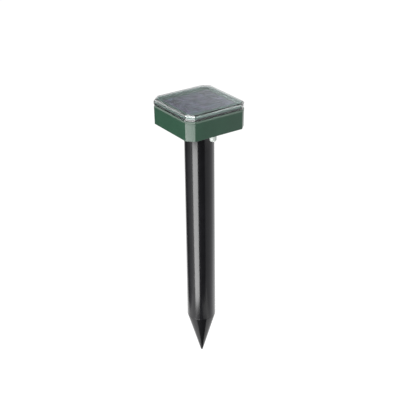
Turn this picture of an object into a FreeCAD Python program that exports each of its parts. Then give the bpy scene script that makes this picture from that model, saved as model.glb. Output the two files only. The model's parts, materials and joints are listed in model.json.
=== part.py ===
import FreeCAD, Part
import math
import os
import re
import sys

import Sketcher

# Solar stake repeller: a square head with a clear lid over a solar panel, and a round tube with a
# cone tip that is pushed into the soil. Millimetres, +Z up. The origin is on the tube's axis at the
# tube's top edge, level with the head's underside. -Y is the side that has the switch.

os.makedirs("parts", exist_ok=True)
V = FreeCAD.Vector
doc = FreeCAD.newDocument("pest_repeller")

DIMENSIONS = {
    # head shell
    "head_width": 92.0,
    "head_height": 35.0,
    "head_draft": 0.3,
    "corner_cut": 9.5,
    "wall": 2.0,
    "body_height": 24.0,
    "lip_height": 2.4,
    "lip_proud": 0.35,
    "lip_chamfer": 1.2,
    "base_thickness": 2.6,
    "fit_gap": 0.25,
    "boss_place": 36.8,
    "boss_radius": 4.3,
    "boss_top": 22.0,
    "boss_pilot": 1.45,
    "pilot_depth": 14.0,
    "diagonal": 0.586,
    # screws
    "base_head_radius": 2.9,
    "base_head_height": 1.5,
    "base_head_sink": 0.15,
    "base_screw_radius": 1.4,
    "base_screw_length": 12.0,
    "base_hole_radius": 1.7,
    "base_hole_mouth": 3.1,
    "board_head_radius": 1.9,
    "board_head_height": 1.4,
    "board_screw_radius": 0.9,
    "board_screw_length": 7.0,
    "screw_point": 0.4,
    "point_length": 1.2,
    "cross_width": 0.5,
    "cross_depth": 0.9,
    # clear lid and its seal
    "gasket_height": 1.0,
    "gasket_inset": 0.9,
    "gasket_rise": 3.0,
    "gasket_gap": 0.1,
    "gasket_overlap": 0.3,
    "lid_proud": 0.2,
    "lid_bevel": 2.5,
    "lid_plate": 2.0,
    # solar panel
    "panel_width": 76.0,
    "panel_depth": 70.0,
    "tray_top": 32.4,
    "tray_plate": 5.6,
    "tray_skirt": 1.5,
    "tray_recess": 4.2,
    "tray_gap": 0.5,
    "panel_gap": 0.2,
    "ledge_width": 4.0,
    "tape_height": 0.4,
    "backboard_height": 1.2,
    "cell_height": 0.25,
    "ribbon_height": 0.15,
    "cover_height": 1.0,
    "cell_count": 6,
    "cell_gap": 0.8,
    "cell_border": 2.5,
    "ribbon_width": 1.2,
    # stake
    "tube_radius": 20.0,
    "tube_wall": 1.2,
    "tube_length": 292.0,
    "tip_length": 65.0,
    "tip_plug": 20.0,
    "tip_end_radius": 1.2,
    "tip_wall": 2.5,
    "tip_point_height": 0.5,
    "tip_floor": 14.0,
    "tip_root": 2.5,
    "push_gap": 0.05,
    "foam_top": -228.0,
    "foam_height": 10.0,
    # bayonet between the head and the stake
    "spigot_radius": 17.5,
    "spigot_bore": 15.0,
    "spigot_plug": 25.0,
    "spigot_top": 14.0,
    "turn_gap": 0.3,
    "ledge_top": 8.0,
    "lug_height": 3.0,
    "lug_reach": 3.5,
    "lug_degrees": 24.0,
    "turn_degrees": 30.0,
    "stop_degrees": 6.0,
    "stop_slack": 1.0,
    "stop_radius": 18.2,
    "stop_height": 5.0,
    "slot_slack": 4.0,
    "chamber_radius": 21.4,
    "chamber_top": 15.5,
    "collar_top": 17.5,
    "collar_radius": 23.6,
    "seal_height": 1.2,
    "seal_gap": 1.0,
    "seal_room": 0.4,
    "lead_radius": 1.2,
    "lead_hole": 4.0,
    "lead_meet": 6.0,
    "grommet_radius": 5.2,
    "grommet_lip": 1.0,
    # circuit board
    "board_width": 74.0,
    "board_cut": 7.0,
    "board_level": 18.8,
    "board_height": 1.6,
    "post_place": 18.0,
    "post_radius": 2.5,
    "post_pilot": 0.95,
    "post_pilot_depth": 8.0,
    "board_hole": 1.15,
    "pin_place": 2.5,
    "pin_hole": 0.75,
    "pin_width": 0.8,
    "pin_depth": 0.5,
    "leg_pitch": 2.54,
    "chip_x": 4.0,
    "chip_y": -10.0,
    "chip_width": 6.4,
    "chip_height": 3.3,
    "chip_rise": 0.5,
    "leg_width": 0.5,
    "leg_depth": 0.9,
    "leg_height": 2.2,
    "leg_tuck": 0.2,
    "can_first": -13.0,
    "can_pitch": 8.0,
    "can_row": 12.0,
    "can_radius": 3.15,
    "can_height": 6.6,
    "can_foot_radius": 2.9,
    "can_foot": 0.6,
    "coil_x": 12.0,
    "coil_y": 8.0,
    "coil_radius": 5.0,
    "coil_neck": 2.4,
    "coil_height": 7.0,
    "coil_flange": 1.0,
    "coil_gap": 0.05,
    "winding_radius": 4.5,
    "transistor_first": -14.0,
    "transistor_pitch": 7.0,
    "transistor_row": -22.0,
    "transistor_radius": 2.3,
    "transistor_height": 4.6,
    "transistor_rise": 1.5,
    "transistor_flat": 1.6,
    "transistor_leg": 0.4,
    "resistor_right": 16.0,
    "resistor_front": -13.5,
    "resistor_left": -24.0,
    "resistor_mid": -2.0,
    "resistor_pitch": 3.5,
    "resistor_radius": 0.95,
    "resistor_length": 6.2,
    "diode_x": 20.0,
    "diode_y": 22.0,
    "diode_radius": 1.35,
    "diode_length": 5.0,
    "thin_wire": 0.25,
    "wire_reach": 1.5,
    "wire_lift": 0.2,
    # batteries
    "cell_radius": 7.25,
    "cell_length": 50.5,
    "nub_radius": 2.6,
    "nub_height": 1.2,
    "cell_lift": 1.0,
    "holder_place": 34.9,
    "holder_width": 16.3,
    "holder_length": 52.9,
    "holder_floor": 0.8,
    "holder_wall": 0.6,
    "holder_height": 10.4,
    "contact_width": 10.0,
    "contact_height": 7.0,
    "contact_thickness": 0.4,
    "contact_gap": 0.05,
    "contact_rise": 2.6,
    "wire_radius": 0.6,
    "link_place": 34.5,
    "link_bend": 6.0,
    "link_rise": 8.0,
    "lead_bend": 2.5,
    "lead_reach": 4.0,
    "lead_inset": 2.0,
    "panel_lead_x": 6.0,
    "panel_lead_y": 27.0,
    "panel_lead_drop": 3.5,
    "panel_lead_out": 3.0,
    "panel_lead_back": 5.0,
    "panel_lead_bend": 2.0,
    # push switch
    "switch_place": 32.0,
    "switch_width": 12.0,
    "switch_top": 14.0,
    "bushing_radius": 3.3,
    "bushing_end": 3.0,
    "bushing_gap": 0.3,
    "plunger_radius": 1.88,
    "running_gap": 0.07,
    "plunger_head": 2.6,
    "plunger_head_height": 2.0,
    "plunger_foot": 1.8,
    "plunger_collar": 2.7,
    "plunger_collar_low": 5.4,
    "plunger_collar_high": 6.6,
    "plunger_pin": 1.0,
    "plunger_top": 8.6,
    "spring_room": 3.0,
    "spring_room_low": 5.0,
    "spring_room_height": 8.0,
    "spring_low": 6.85,
    "spring_pitch": 1.45,
    "spring_turns": 4.0,
    "spring_radius": 1.85,
    "spring_wire": 0.24,
    "boot_radius": 4.5,
    "boot_end": 12.2,
    "boot_wall": 0.9,
    "boot_flange": 6.4,
    "boot_flange_height": 1.4,
    "boot_roof": 1.4,
    "boot_shoulder": 1.3,
    "boot_gap": 0.3,
    "retainer_radius": 8.0,
    "retainer_floor": 1.2,
    "retainer_gap": 0.1,
    # speaker near the foot of the tube, facing down
    "speaker_face": -267.0,
    "speaker_radius": 18.3,
    "spacer_bore": 14.5,
    "gasket_bore": 15.8,
    "rim_low": 1.0,
    "rim_high": 2.0,
    "rim_radius": 16.3,
    "basket_shoulder": 17.3,
    "basket_radius": 12.4,
    "basket_bore": 7.0,
    "basket_high": 10.8,
    "basket_plate": 0.8,
    "basket_skin": 0.5,
    "pole_radius": 4.6,
    "gap_radius": 5.8,
    "plate_radius": 9.5,
    "plate_high": 12.3,
    "magnet_bore": 6.5,
    "magnet_radius": 11.0,
    "magnet_high": 16.8,
    "yoke_radius": 10.0,
    "yoke_high": 18.3,
    "voice_bore": 5.0,
    "voice_radius": 5.4,
    "voice_low": 7.3,
    "voice_high": 14.8,
    "cone_radius": 14.6,
    "cone_low": 2.2,
    "cone_skin": 0.4,
    "cap_low": 5.6,
    "cap_edge": 0.1,
    "cap_drop": 0.25,
    "surround_low": 1.4,
    "tag_width": 10.0,
    "tag_depth": 6.0,
    "tag_height": 0.8,
}

dims = doc.addObject("Spreadsheet::Sheet", "dims")
for row, (alias, number) in enumerate(DIMENSIONS.items(), start=1):
    dims.set(f"A{row}", alias)
    dims.set(f"B{row}", str(number))
    dims.setAlias(f"B{row}", alias)
doc.recompute()

nodes = []


def bound(expression):
    """An expression in sheet words, written the way an object outside the sheet reads it."""
    def full_name(word):
        return f"dims.{word.group()}" if word.group() in DIMENSIONS else word.group()

    return re.sub(r"[a-z][a-z_]*", full_name, expression)


def value(expression):
    return float(dims.evalExpression(expression))


def node(label, item):
    """Names a finished sub-part; each one is written to a file of its own."""
    item.Label = label
    nodes.append(item)
    return item


# ---- sketches and features ------------------------------------------------------------------


def new_body(label):
    body = doc.addObject("PartDesign::Body", label)
    body.AllowCompound = True
    return body


def sketch_on(body, name, role, x="0", y="0", offset="0", turn="0"):
    """A sketch on one of the body's origin planes, moved by x, y and offset and turned about its Y."""
    plane = next(item for item in body.Origin.OriginFeatures if item.Role == role)
    sketch = body.newObject("Sketcher::SketchObject", name)
    sketch.AttachmentSupport = (plane, [""])
    sketch.MapMode = "FlatFace"
    sketch.AttachmentOffset = FreeCAD.Placement(V(), FreeCAD.Rotation(V(0, 1, 0), value(turn)))
    for axis, expression in zip("xyz", (x, y, offset)):
        sketch.setExpression(f"AttachmentOffset.Base.{axis}", bound(expression))
    return sketch


def polygon(sketch, points):
    """Closed straight outline; each point is a pair of sheet expressions that drive its place."""
    places = [V(value(x), value(y), 0) for x, y in points]
    count = len(points)
    first = sketch.GeometryCount
    for index in range(count):
        sketch.addGeometry(Part.LineSegment(places[index], places[(index + 1) % count]))
    for index in range(count):
        after = first + (index + 1) % count
        sketch.addConstraint(Sketcher.Constraint("Coincident", first + index, 2, after, 1))
    for index, (x, y) in enumerate(points):
        drive(sketch, first + index, "DistanceX", x, places[index].x, -2)
        drive(sketch, first + index, "DistanceY", y, places[index].y, -1)


def drive(sketch, line, kind, expression, number, axis):
    """Ties the start of a line to its distance from the sketch's origin."""
    if abs(number) < 1e-9:
        sketch.addConstraint(Sketcher.Constraint("PointOnObject", line, 1, axis))
        return
    index = sketch.addConstraint(Sketcher.Constraint(kind, line, 1, number))
    sketch.setExpression(f"Constraints[{index}]", bound(expression))


def circles(sketch, radius, centres):
    for x, y in centres:
        place = V(value(x), value(y), 0)
        line = sketch.addGeometry(Part.Circle(place, V(0, 0, 1), value(radius)))
        for kind, expression, number, axis in (
            ("DistanceX", x, place.x, -2),
            ("DistanceY", y, place.y, -1),
        ):
            if abs(number) < 1e-9:
                sketch.addConstraint(Sketcher.Constraint("PointOnObject", line, 3, axis))
            else:
                index = sketch.addConstraint(Sketcher.Constraint(kind, line, 3, number))
                sketch.setExpression(f"Constraints[{index}]", bound(expression))
        index = sketch.addConstraint(Sketcher.Constraint("Radius", line, value(radius)))
        sketch.setExpression(f"Constraints[{index}]", bound(radius))


def rectangle(width, depth, x="0", y="0"):
    return [
        (f"{x} - ({width}) / 2", f"{y} - ({depth}) / 2"),
        (f"{x} + ({width}) / 2", f"{y} - ({depth}) / 2"),
        (f"{x} + ({width}) / 2", f"{y} + ({depth}) / 2"),
        (f"{x} - ({width}) / 2", f"{y} + ({depth}) / 2"),
    ]


def octagon(width, cut):
    """A square of this width with 45 degree corners of this leg."""
    half = f"({width}) / 2"
    inner = f"(({width}) / 2 - ({cut}))"
    return [
        (f"-{inner}", f"-{half}"),
        (inner, f"-{half}"),
        (half, f"-{inner}"),
        (half, inner),
        (inner, half),
        (f"-{inner}", half),
        (f"-{half}", inner),
        (f"-{half}", f"-{inner}"),
    ]


def add(body, kind, sketch, **settings):
    """Adds a feature made from a sketch; text settings are sheet expressions."""
    feature = body.newObject(f"PartDesign::{kind}", kind)
    feature.Profile = sketch
    for key, setting in settings.items():
        if isinstance(setting, str):
            feature.setExpression(key, bound(setting))
        else:
            setattr(feature, key, setting)
    return feature


def pad(body, outline, low, height):
    sketch = sketch_on(body, "outline", "XY_Plane", offset=low)
    polygon(sketch, outline)
    return add(body, "Pad", sketch, Length=height)


def pocket(body, outline, low, height):
    """Cuts upward from the level low."""
    sketch = sketch_on(body, "opening", "XY_Plane", offset=low)
    polygon(sketch, outline)
    return cutting(body, add(body, "Pocket", sketch, Length=height, Reversed=True))


def round_pad(body, radius, centres, low, height):
    sketch = sketch_on(body, "discs", "XY_Plane", offset=low)
    circles(sketch, radius, centres)
    return add(body, "Pad", sketch, Length=height)


def round_pocket(body, radius, centres, low, height):
    sketch = sketch_on(body, "holes", "XY_Plane", offset=low)
    circles(sketch, radius, centres)
    return cutting(body, add(body, "Pocket", sketch, Length=height, Reversed=True))


def cutting(body, feature):
    """Stops the macro if a cut took nothing away."""
    doc.recompute()
    if feature.Shape.Volume >= feature.BaseFeature.Shape.Volume - 1e-6:
        sys.exit(f"{body.Label}: {feature.Label} cut nothing")
    return feature


def loft(body, kind, low, low_outline, high, high_outline):
    lower = sketch_on(body, "lower", "XY_Plane", offset=low)
    polygon(lower, low_outline)
    upper = sketch_on(body, "upper", "XY_Plane", offset=high)
    polygon(upper, high_outline)
    return add(body, kind, lower, Sections=[upper], Ruled=True)


def turned(body, kind, outline, x="0", y="0", degrees="360", turn="0"):
    """Turns an outline of (radius, height) points about the vertical line through x, y."""
    sketch = sketch_on(body, "profile", "XZ_Plane", x=x, offset=f"-({y})", turn=turn)
    polygon(sketch, outline)
    feature = add(body, kind, sketch, Angle=degrees, Midplane=True)
    feature.ReferenceAxis = (sketch, ["V_Axis"])
    return cutting(body, feature) if kind == "Groove" else feature


def around(body, features, count):
    """Repeats features evenly about the vertical axis."""
    pattern = body.newObject("PartDesign::PolarPattern", "around")
    pattern.Originals = features
    upright = next(item for item in body.Origin.OriginFeatures if item.Role == "Z_Axis")
    pattern.Axis = (upright, [""])
    pattern.Angle = 360
    pattern.Occurrences = count
    body.Tip = pattern
    return pattern


def ring(label, inner, outer, low, high):
    """A turned ring with a plain section."""
    return turned_part(label, [(inner, low), (outer, low), (outer, high), (inner, high)])


def turned_part(label, outline, x="0", y="0"):
    body = new_body(label)
    turned(body, "Revolution", outline, x=x, y=y)
    return node(label, body)


# ---- primitives -----------------------------------------------------------------------------


def place(item, base):
    for axis, expression in zip("xyz", base):
        item.setExpression(f"Placement.Base.{axis}", bound(expression))
    return item


def box(name, size, corner):
    item = doc.addObject("Part::Box", name)
    for key, expression in zip(("Length", "Width", "Height"), size):
        item.setExpression(key, bound(expression))
    return place(item, corner)


def cylinder(name, radius, height, base, along=V(0, 0, 1)):
    item = doc.addObject("Part::Cylinder", name)
    item.setExpression("Radius", bound(radius))
    item.setExpression("Height", bound(height))
    item.Placement = FreeCAD.Placement(V(), FreeCAD.Rotation(V(0, 0, 1), along))
    return place(item, base)


def fuse(name, items):
    item = doc.addObject("Part::MultiFuse", name)
    item.Shapes = items
    return item


def cut(name, base, tool):
    item = doc.addObject("Part::Cut", name)
    item.Base = base
    item.Tool = tool
    return item


def group(name, items):
    """Several separate solids in one sub-part."""
    item = doc.addObject("Part::Compound", name)
    item.Links = items
    return item


# ---- levels shared by several sub-parts ---------------------------------------------------------

HEAD_LOW = "head_width - 2 * head_draft"
LIP_TOP = "body_height + lip_height"
LID_LOW = "body_height + lip_height + gasket_height"
LID_WIDTH = "head_width + 2 * lid_proud"
CORNERS = [(f"{a} * boss_place", f"{b} * boss_place") for a in ("-1", "1") for b in ("-1", "1")]
POSTS = [(f"{a} * post_place", f"{b} * post_place") for a in ("-1", "1") for b in ("-1", "1")]
TUBE_BORE = "tube_radius - tube_wall"
BOARD_TOP = "board_level + board_height"


# ---- head shell ---------------------------------------------------------------------------------


def head_housing():
    """Drafted square wall with cut corners, a lip round the top and four screw bosses."""
    body = new_body("head_housing")
    lip_width = "head_width + 2 * lip_proud"
    loft(body, "AdditiveLoft", "0", octagon(HEAD_LOW, "corner_cut"),
         "body_height", octagon("head_width", "corner_cut"))
    pad(body, octagon(lip_width, "corner_cut"), "body_height", "lip_height - lip_chamfer")
    loft(body, "AdditiveLoft", f"{LIP_TOP} - lip_chamfer", octagon(lip_width, "corner_cut"),
         LIP_TOP, octagon(f"{lip_width} - 2 * lip_chamfer", "corner_cut"))
    inner_low = octagon(f"{HEAD_LOW} - 2 * wall", "corner_cut - wall * diagonal")
    inner_high = octagon("head_width - 2 * wall", "corner_cut - wall * diagonal")
    cavity = loft(body, "SubtractiveLoft", "0", inner_low, LIP_TOP, inner_high)
    cutting(body, cavity)
    round_pad(body, "boss_radius", CORNERS, "base_thickness", "boss_top - base_thickness")
    round_pocket(body, "boss_pilot", CORNERS, "base_thickness", "pilot_depth")
    node("head_housing", body)


def base_plate():
    """Bottom cover with the bayonet socket, the board's posts and the switch's hole."""
    body = new_body("base_plate")
    width = f"{HEAD_LOW} - 2 * wall - 2 * fit_gap"
    pad(body, octagon(width, "corner_cut - wall * diagonal"), "0", "base_thickness")
    round_pad(body, "collar_radius", [("0", "0")], "0", "collar_top")
    round_pad(body, "post_radius", POSTS, "0", "board_level")
    seal_radius = "tube_radius + seal_gap"
    bore = "spigot_radius + turn_gap"
    inside = [
        ("0", "0"),
        (seal_radius, "0"),
        (seal_radius, "seal_height + seal_room"),
        (bore, "seal_height + seal_room"),
        (bore, "ledge_top"),
        ("chamber_radius", "ledge_top"),
        ("chamber_radius", "chamber_top"),
        ("lead_hole", "chamber_top"),
        ("lead_hole", "collar_top"),
        ("0", "collar_top"),
    ]
    turned(body, "Groove", inside)
    slot = [("spigot_radius - 1", "0"), ("chamber_radius", "0"),
            ("chamber_radius", "ledge_top"), ("spigot_radius - 1", "ledge_top")]
    entry = turned(body, "Groove", slot, degrees="lug_degrees + slot_slack", turn="-turn_degrees")
    around(body, [entry], 3)
    doc.recompute()
    outer = "(chamber_radius + collar_radius) / 2"
    stop = [("stop_radius", "ledge_top - 0.5"), (outer, "ledge_top - 0.5"),
            (outer, "ledge_top + stop_height"), ("stop_radius", "ledge_top + stop_height")]
    near = "lug_degrees / 2 + stop_slack + stop_degrees / 2"
    stops = [
        turned(body, "Revolution", stop, degrees="stop_degrees", turn=near),
        turned(body, "Revolution", stop, degrees="stop_degrees", turn=f"-(turn_degrees + {near})"),
    ]
    around(body, stops, 3)
    doc.recompute()
    round_pocket(body, "post_pilot", POSTS, "board_level - post_pilot_depth", "post_pilot_depth")
    round_pocket(body, "bushing_radius + bushing_gap", [("0", "-switch_place")], "0",
                 "base_thickness")
    for x, y in CORNERS:
        hole = [("0", "0"), ("base_hole_mouth", "0"), ("base_hole_radius", "base_hole_radius"),
                ("base_hole_radius", "base_thickness"), ("0", "base_thickness")]
        turned(body, "Groove", hole, x=x, y=y)
    node("base_plate", body)


def screws(label, place_word, head_radius, head_low, head_height, radius, length, upward, pan):
    """Four cross-head screws. upward screws have their head at the bottom."""
    body = new_body(label)
    sign = "1" if upward else "-1"
    seat = f"{head_low} + {sign} * {head_height}"
    end = f"{seat} + {sign} * {length}"
    outline = [
        ("0", head_low),
        (head_radius, head_low),
        (head_radius if pan else radius, seat),
        (radius, seat),
        (radius, f"{end} - {sign} * point_length"),
        ("screw_point", end),
        ("0", end),
    ]
    if not pan:
        outline.pop(3)
    shank = turned(body, "Revolution", outline, x=place_word, y=place_word)
    arm = f"{head_radius} * 0.55"
    low = head_low if upward else f"{head_low} - cross_depth"
    cross = []
    for width, depth in ((f"2 * {arm}", "cross_width"), ("cross_width", f"2 * {arm}")):
        cross.append(pocket(body, rectangle(width, depth, place_word, place_word), low, "cross_depth"))
    around(body, [shank] + cross, 4)
    node(label, body)


def lid():
    """Clear cover with a bevelled top edge, open below."""
    body = new_body("clear_lid")
    outer = octagon(LID_WIDTH, "corner_cut")
    top = octagon(f"{LID_WIDTH} - 2 * lid_bevel", "corner_cut")
    bevel_low = "head_height - lid_bevel"
    pad(body, outer, LID_LOW, f"{bevel_low} - ({LID_LOW})")
    loft(body, "AdditiveLoft", bevel_low, outer, "head_height", top)
    inner = octagon(f"{LID_WIDTH} - 2 * wall", "corner_cut - wall * diagonal")
    inside_height = f"head_height - lid_plate - ({LID_LOW})"
    pocket(body, inner, LID_LOW, inside_height)
    node("clear_lid", body)


def gasket():
    """Flat seal under the lid's edge, with a thin upstand inside the lid's wall."""
    body = new_body("lid_gasket")

    def outline(inset):
        return octagon(f"head_width - 2 * ({inset})", f"corner_cut - ({inset}) * diagonal")

    rise_out = "wall - lid_proud + gasket_gap"
    rise_in = "wall + tray_gap - gasket_gap"
    pad(body, outline("gasket_inset"), LIP_TOP, "gasket_height")
    pad(body, outline(rise_out), LIP_TOP, "gasket_rise")
    pocket(body, outline(rise_in), LIP_TOP, "gasket_rise")
    node("lid_gasket", body)


# ---- solar panel ------------------------------------------------------------------------------------


def panel_tray():
    """Frame that stands on the housing's bosses and holds the panel under the lid."""
    body = new_body("panel_tray")
    outer = "head_width - 2 * wall - 2 * tray_gap"
    cut_leg = "corner_cut - wall * diagonal"
    pad(body, octagon(outer, cut_leg), "boss_top", "tray_top - boss_top")
    pocket(body, octagon(f"{outer} - 2 * tray_skirt", f"{cut_leg} - tray_skirt * diagonal"),
           "boss_top", "tray_top - tray_plate - boss_top")
    pocket(body, rectangle("panel_width + 2 * panel_gap", "panel_depth + 2 * panel_gap"),
           "tray_top - tray_recess", "tray_recess")
    pocket(body, rectangle("panel_width - 2 * ledge_width", "panel_depth - 2 * ledge_width"),
           "tray_top - tray_plate", "tray_plate")
    node("panel_tray", body)


def slab(label, width, depth, low, height, window=None):
    body = new_body(label)
    pad(body, rectangle(width, depth), low, height)
    if window:
        pocket(body, rectangle(*window), low, height)
    node(label, body)


TAPE_LOW = "tray_top - tray_recess"
BACKBOARD_LOW = f"{TAPE_LOW} + tape_height"
CELL_LOW = f"{BACKBOARD_LOW} + backboard_height"
RIBBON_LOW = f"{CELL_LOW} + cell_height"
COVER_LOW = f"{RIBBON_LOW} + ribbon_height"


def solar_cells():
    """Separate cell strips side by side, with two flat ribbons across them all."""
    count = int(DIMENSIONS["cell_count"])
    pitch = "((panel_width - 2 * cell_border + cell_gap) / cell_count)"
    strips = []
    for index in range(count):
        corner = (f"-panel_width / 2 + cell_border + {index} * {pitch}",
                  "-panel_depth / 2 + cell_border", CELL_LOW)
        size = (f"{pitch} - cell_gap", "panel_depth - 2 * cell_border", "cell_height")
        strips.append(box("cell_strip", size, corner))
    node("solar_cells", group("solar_cells", strips))
    ribbons = []
    for side in ("-1", "1"):
        corner = ("-panel_width / 2 + cell_border",
                  f"{side} * panel_depth / 5 - ribbon_width / 2", RIBBON_LOW)
        size = ("panel_width - 2 * cell_border", "ribbon_width", "ribbon_height")
        ribbons.append(box("ribbon", size, corner))
    node("cell_ribbons", group("cell_ribbons", ribbons))


# ---- leads ------------------------------------------------------------------------------------------


def rounded_route(points, bend):
    """Straight runs joined by tangent arcs of one radius."""
    edges = []
    start = points[0]
    for before, corner, after in zip(points, points[1:], points[2:]):
        arrive = (corner - before).normalize()
        leave = (after - corner).normalize()
        half_turn = arrive.getAngle(leave) / 2
        reach = bend * math.tan(half_turn)
        enter = corner - arrive * reach
        exit_point = corner + leave * reach
        towards = (leave - arrive).normalize()
        middle = corner + towards * (bend / math.cos(half_turn) - bend)
        edges.append(Part.LineSegment(start, enter).toShape())
        edges.append(Part.Arc(enter, middle, exit_point).toShape())
        start = exit_point
    edges.append(Part.LineSegment(start, points[-1]).toShape())
    return Part.Wire(edges)


def lead(label, points, radius="wire_radius", bend="lead_bend"):
    """A round wire along a route of sheet expressions."""
    places = [V(*(value(expression) for expression in point)) for point in points]
    route = rounded_route(places, value(bend))
    thickness = value(radius)
    direction = places[1] - places[0]
    section = Part.Wire(Part.Circle(places[0], direction, thickness).toShape())
    shape = route.makePipeShell([section], True, False)
    expected = math.pi * thickness**2 * route.Length
    if abs(shape.Volume - expected) > 0.01 * expected:
        sys.exit(f"{label}: volume {shape.Volume:.2f} is not {expected:.2f}")
    item = doc.addObject("Part::Feature", label)
    item.Shape = shape
    item.Placement = FreeCAD.Placement()
    node(label, item)


# ---- circuit board ------------------------------------------------------------------------------------


def control_board():
    body = new_body("control_board")
    pad(body, octagon("board_width", "board_cut"), "board_level", "board_height")
    round_pocket(body, "board_hole", POSTS, "board_level", "board_height")
    pins = [("-pin_place", "-switch_place"), ("pin_place", "-switch_place")]
    round_pocket(body, "pin_hole", pins, "board_level", "board_height")
    node("control_board", body)


def chip(label, x, y, pairs):
    """Dual in-line package with bent legs down to the board."""
    length = f"({pairs} * leg_pitch)"
    package = box("package", (length, "chip_width", "chip_height"),
                  (f"{x} - {length} / 2", f"{y} - chip_width / 2", f"{BOARD_TOP} + chip_rise"))
    legs = []
    for index in range(pairs):
        across = f"{x} + ({index} + 0.5) * leg_pitch - {length} / 2 - leg_width / 2"
        for edge in ("chip_width / 2 - leg_tuck", "leg_tuck - leg_depth - chip_width / 2"):
            legs.append(box("leg", ("leg_width", "leg_depth", "leg_height"),
                            (across, f"{y} + {edge}", BOARD_TOP)))
    node(label, fuse(label, [package] + legs))


def capacitors():
    """Two upright electrolytic cans on the board."""
    cans = []
    for index in range(2):
        x = f"can_first + {index} * can_pitch"
        foot = cylinder("foot", "can_foot_radius", "can_foot", (x, "can_row", BOARD_TOP))
        can = cylinder("can", "can_radius", "can_height", (x, "can_row", f"{BOARD_TOP} + can_foot"))
        cans.append(fuse("capacitor", [foot, can]))
    node("capacitors", group("capacitors", cans))


def boost_coil():
    """Drum core and its copper winding."""
    low = f"{BOARD_TOP} + coil_flange"
    high = f"{BOARD_TOP} + coil_height - coil_flange"
    core = [
        ("0", BOARD_TOP), ("coil_radius", BOARD_TOP), ("coil_radius", low), ("coil_neck", low),
        ("coil_neck", high), ("coil_radius", high), ("coil_radius", f"{BOARD_TOP} + coil_height"),
        ("0", f"{BOARD_TOP} + coil_height"),
    ]
    turned_part("coil_core", core, "coil_x", "coil_y")
    wound = [
        ("coil_neck + coil_gap", f"{low} + coil_gap"), ("winding_radius", f"{low} + coil_gap"),
        ("winding_radius", f"{high} - coil_gap"), ("coil_neck + coil_gap", f"{high} - coil_gap"),
    ]
    turned_part("coil_winding", wound, "coil_x", "coil_y")


def transistors():
    """Three small flat-faced packages on three legs each."""
    y = "transistor_row"
    level = f"{BOARD_TOP} + transistor_rise"
    items = []
    for index in range(3):
        x = f"transistor_first + {index} * transistor_pitch"
        barrel = cylinder("barrel", "transistor_radius", "transistor_height", (x, y, level))
        flat = box("flat", ("3 * transistor_radius", "transistor_radius", "transistor_height + 1"),
                   (f"{x} - 1.5 * transistor_radius",
                    f"{y} - transistor_flat - transistor_radius", f"{level} - 0.5"))
        legs = [box("leg", ("transistor_leg", "transistor_leg", "transistor_rise + 0.5"),
                    (f"{x} + {side} * leg_pitch / 2 - transistor_leg / 2",
                     f"{y} - transistor_leg / 2", BOARD_TOP))
                for side in (-1, 0, 1)]
        items.append(fuse("transistor", [cut("package", barrel, flat)] + legs))
    node("transistors", group("transistors", items))


def axial(name, x, y, radius, length):
    """A component that lies on the board with a wire at each end."""
    span = f"({length} + 2 * wire_reach)"
    level = f"{BOARD_TOP} + {radius} + wire_lift"
    pieces = [
        cylinder("barrel", radius, length, (f"{x} - {length} / 2", y, level), V(1, 0, 0)),
        cylinder("wire", "thin_wire", span, (f"{x} - {span} / 2", y, level), V(1, 0, 0)),
    ]
    for side in (-1, 1):
        pieces.append(cylinder("wire_end", "thin_wire", f"{radius} + wire_lift + thin_wire",
                               (f"{x} + {side} * ({span} / 2 - thin_wire)", y, BOARD_TOP)))
    return fuse(name, pieces)


def small_parts():
    places = [("resistor_right", f"resistor_front + {index} * resistor_pitch") for index in range(2)]
    places += [("resistor_left", f"resistor_mid + {index} * resistor_pitch") for index in range(3)]
    resistors = [axial("resistor", x, y, "resistor_radius", "resistor_length") for x, y in places]
    node("resistors", group("resistors", resistors))
    node("charge_diode", axial("charge_diode", "diode_x", "diode_y", "diode_radius", "diode_length"))


# ---- batteries ------------------------------------------------------------------------------------------

# Each battery lies beside one wall: right, rear and left of the bayonet collar.
BATTERY_TURNS = (("right", 0), ("rear", 90), ("left", 180))


def battery(side, degrees):
    """One open holder with its cell, made along Y at the right wall and turned about the axis."""
    name = f"battery_holder_{side}"
    low = "base_thickness"
    outer = box("holder_outer", ("holder_width", "holder_length", "holder_height"),
                ("holder_place - holder_width / 2", "-holder_length / 2", low))
    inner = box("holder_inner",
                ("holder_width - 2 * holder_wall", "holder_length - 2 * holder_wall", "holder_height"),
                ("holder_place - holder_width / 2 + holder_wall", "-holder_length / 2 + holder_wall",
                 f"{low} + holder_floor"))
    holder = cut(name, outer, inner)
    level = f"{low} + cell_lift + cell_radius"
    can = cylinder("can", "cell_radius", "cell_length - nub_height + 0.2",
                   ("holder_place", "-cell_length / 2", level), V(0, 1, 0))
    nub = cylinder("nub", "nub_radius", "nub_height",
                   ("holder_place", "cell_length / 2 - nub_height", level), V(0, 1, 0))
    cell = fuse(f"battery_cell_{side}", [can, nub])
    for item in (holder, cell):
        item.Placement = FreeCAD.Placement(V(), FreeCAD.Rotation(V(0, 0, 1), degrees))
    node(name, holder)
    node(f"battery_cell_{side}", cell)


def battery_contacts():
    """A sprung plate at each end of each holder."""
    plates = []
    for _, degrees in BATTERY_TURNS:
        for side in ("-1", "1"):
            middle = f"{side} * (holder_length / 2 - holder_wall - contact_gap - contact_thickness / 2)"
            plate = box("plate", ("contact_width", "contact_thickness", "contact_height"),
                        ("holder_place - contact_width / 2", f"{middle} - contact_thickness / 2",
                         "base_thickness + contact_rise"))
            turn = FreeCAD.Rotation(V(0, 0, 1), degrees)
            turned_plate = group("turned_plate", [plate])
            turned_plate.Placement = FreeCAD.Placement(V(), turn)
            plates.append(turned_plate)
    node("battery_contacts", group("battery_contacts", plates))


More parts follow.
